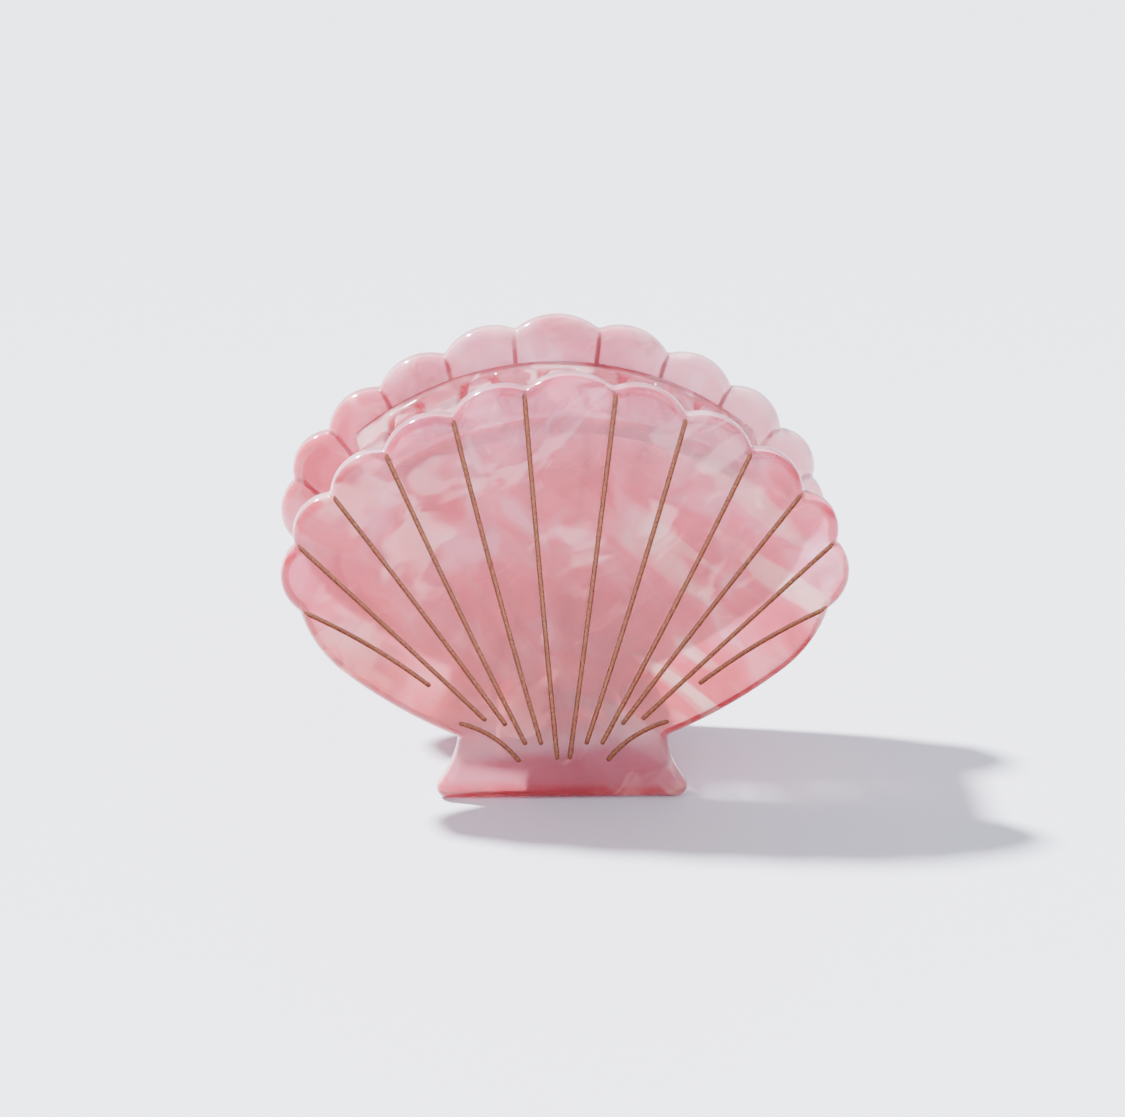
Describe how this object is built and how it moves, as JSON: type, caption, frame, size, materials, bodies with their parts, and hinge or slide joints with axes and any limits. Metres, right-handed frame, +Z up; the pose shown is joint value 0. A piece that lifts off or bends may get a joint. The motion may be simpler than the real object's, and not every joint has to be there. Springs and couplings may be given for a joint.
{
  "type": "hair claw clip",
  "caption": "Spring-hinged hair claw clip: engraved scallop-shell plates with interlocking comb teeth; squeezing the feet opens the jaws to grip gathered hair.",
  "frame": {"origin": "on the surface that the clip stands on, midway between the feet of its shell plates", "axes": "+X across the shells to the viewer's right, +Y from the front shell to the rear shell, +Z up through the tops of the shells"},
  "size_m": [0.0882, 0.0338, 0.0702],
  "materials": {
    "pink_acetate": "polished marbled pearl acetate, slightly see-through, with bronze paint in the engraved lines",
    "pale_acetate": "polished pale pearl acetate, slightly see-through",
    "spring_steel": "bright drawn wire"
  },
  "bodies": {
    "front_jaw": {"front_shell": "pink_acetate", "front_comb": "pale_acetate", "front_hinge_arch": "pale_acetate", "hinge_pin": "spring_steel", "torsion_spring": "spring_steel"},
    "rear_jaw": {"rear_shell": "pink_acetate", "rear_comb": "pale_acetate", "rear_hinge_arch": "pale_acetate"}
  },
  "joints": [
    {"name": "jaw_hinge", "type": "hinge", "parent": "front_jaw", "child": "rear_jaw", "pos_m": [0, 0, 0.0115], "axis": [-1, 0, 0], "range_deg": [0, 50], "stiffness_Nm_per_rad": 0.08, "springref_deg": -5.73, "deforming": ["torsion_spring"]}
  ]
}
